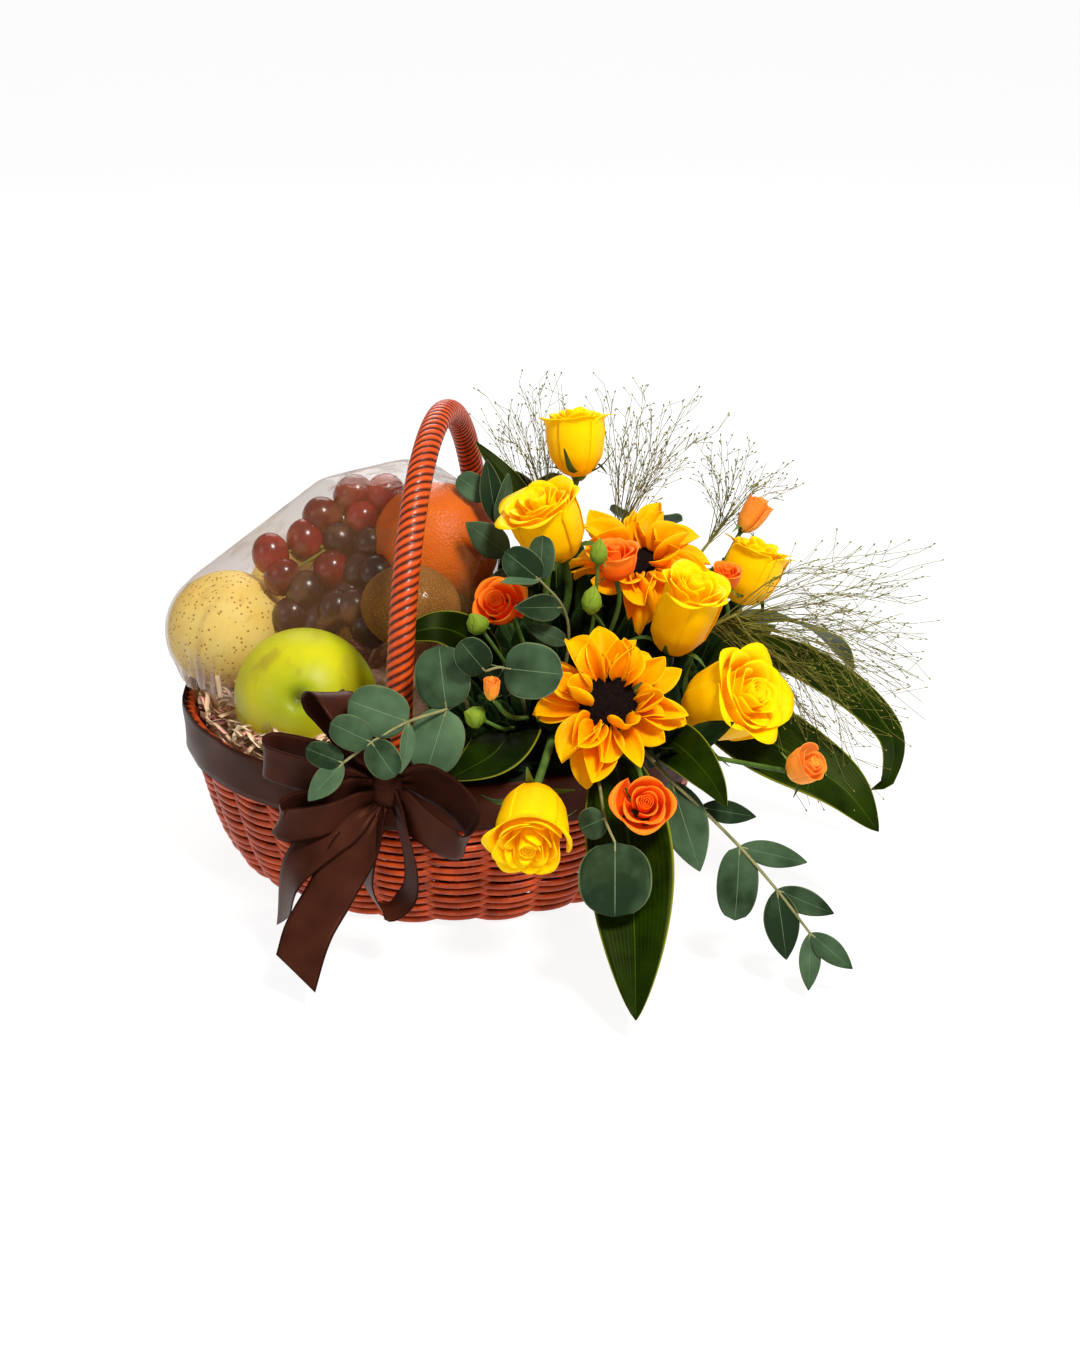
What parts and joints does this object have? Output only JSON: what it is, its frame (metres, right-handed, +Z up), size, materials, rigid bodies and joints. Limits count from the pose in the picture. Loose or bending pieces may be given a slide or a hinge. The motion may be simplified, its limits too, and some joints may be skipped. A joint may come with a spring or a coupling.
{
  "type": "gift hamper",
  "caption": "Oval wicker gift basket with a hooped handle and satin bow, fruit under clear film on one side, cut flowers and greens on the other.",
  "frame": {"origin": "on the floor under the middle of the basket's flat base", "axes": "+Z up, X along the basket's long axis with the flowers at +X, -Y towards the front with the bow"},
  "size_m": [0.433, 0.3874, 0.2557],
  "materials": {
    "wicker": "stained and varnished willow weave",
    "grey_green_leaf": "matte grey-green leaf",
    "packed_greens": "dark packed greens",
    "film_and_fruit": "clear film over fruit",
    "dry_grass": "dry grass",
    "green_bud": "waxy green",
    "cane": "stained cane wrap, satin",
    "dark_leaf": "glossy dark green leaf",
    "orange_bud_petals": "soft matte petals",
    "orange_petals": "soft matte petals",
    "ribbon": "dark brown satin",
    "yellow_petals": "soft matte petals",
    "sunflower_petals": "soft matte petals"
  },
  "bodies": {
    "root": {"basket": "wicker", "eucalyptus_1": "grey_green_leaf", "eucalyptus_2": "grey_green_leaf", "eucalyptus_3": "grey_green_leaf", "eucalyptus_4": "grey_green_leaf", "eucalyptus_5": "grey_green_leaf", "eucalyptus_6": "grey_green_leaf", "eucalyptus_7": "grey_green_leaf", "eucalyptus_8": "grey_green_leaf", "flower_mound": "packed_greens", "fruit_pack": "film_and_fruit", "grass_1": "dry_grass", "grass_2": "dry_grass", "grass_3": "dry_grass", "grass_4": "dry_grass", "green_bud_1": "green_bud", "green_bud_2": "green_bud", "green_bud_3": "green_bud", "green_bud_4": "green_bud", "handle": "cane", "long_leaf_1": "dark_leaf", "long_leaf_10": "dark_leaf", "long_leaf_2": "dark_leaf", "long_leaf_3": "dark_leaf", "long_leaf_4": "dark_leaf", "long_leaf_5": "dark_leaf", "long_leaf_6": "dark_leaf", "long_leaf_7": "dark_leaf", "long_leaf_8": "dark_leaf", "long_leaf_9": "dark_leaf", "orange_bud_1": "orange_bud_petals", "orange_bud_2": "orange_bud_petals", "orange_bud_3": "orange_bud_petals", "orange_rose_1": "orange_petals", "orange_rose_2": "orange_petals", "orange_rose_3": "orange_petals", "orange_rose_4": "orange_petals", "ribbon_band": "ribbon", "ribbon_bow": "ribbon", "rose_1": "yellow_petals", "rose_2": "yellow_petals", "rose_3": "yellow_petals", "rose_4": "yellow_petals", "rose_5": "yellow_petals", "rose_6": "yellow_petals", "sunflower_1": "sunflower_petals", "sunflower_2": "sunflower_petals"}
  },
  "joints": []
}
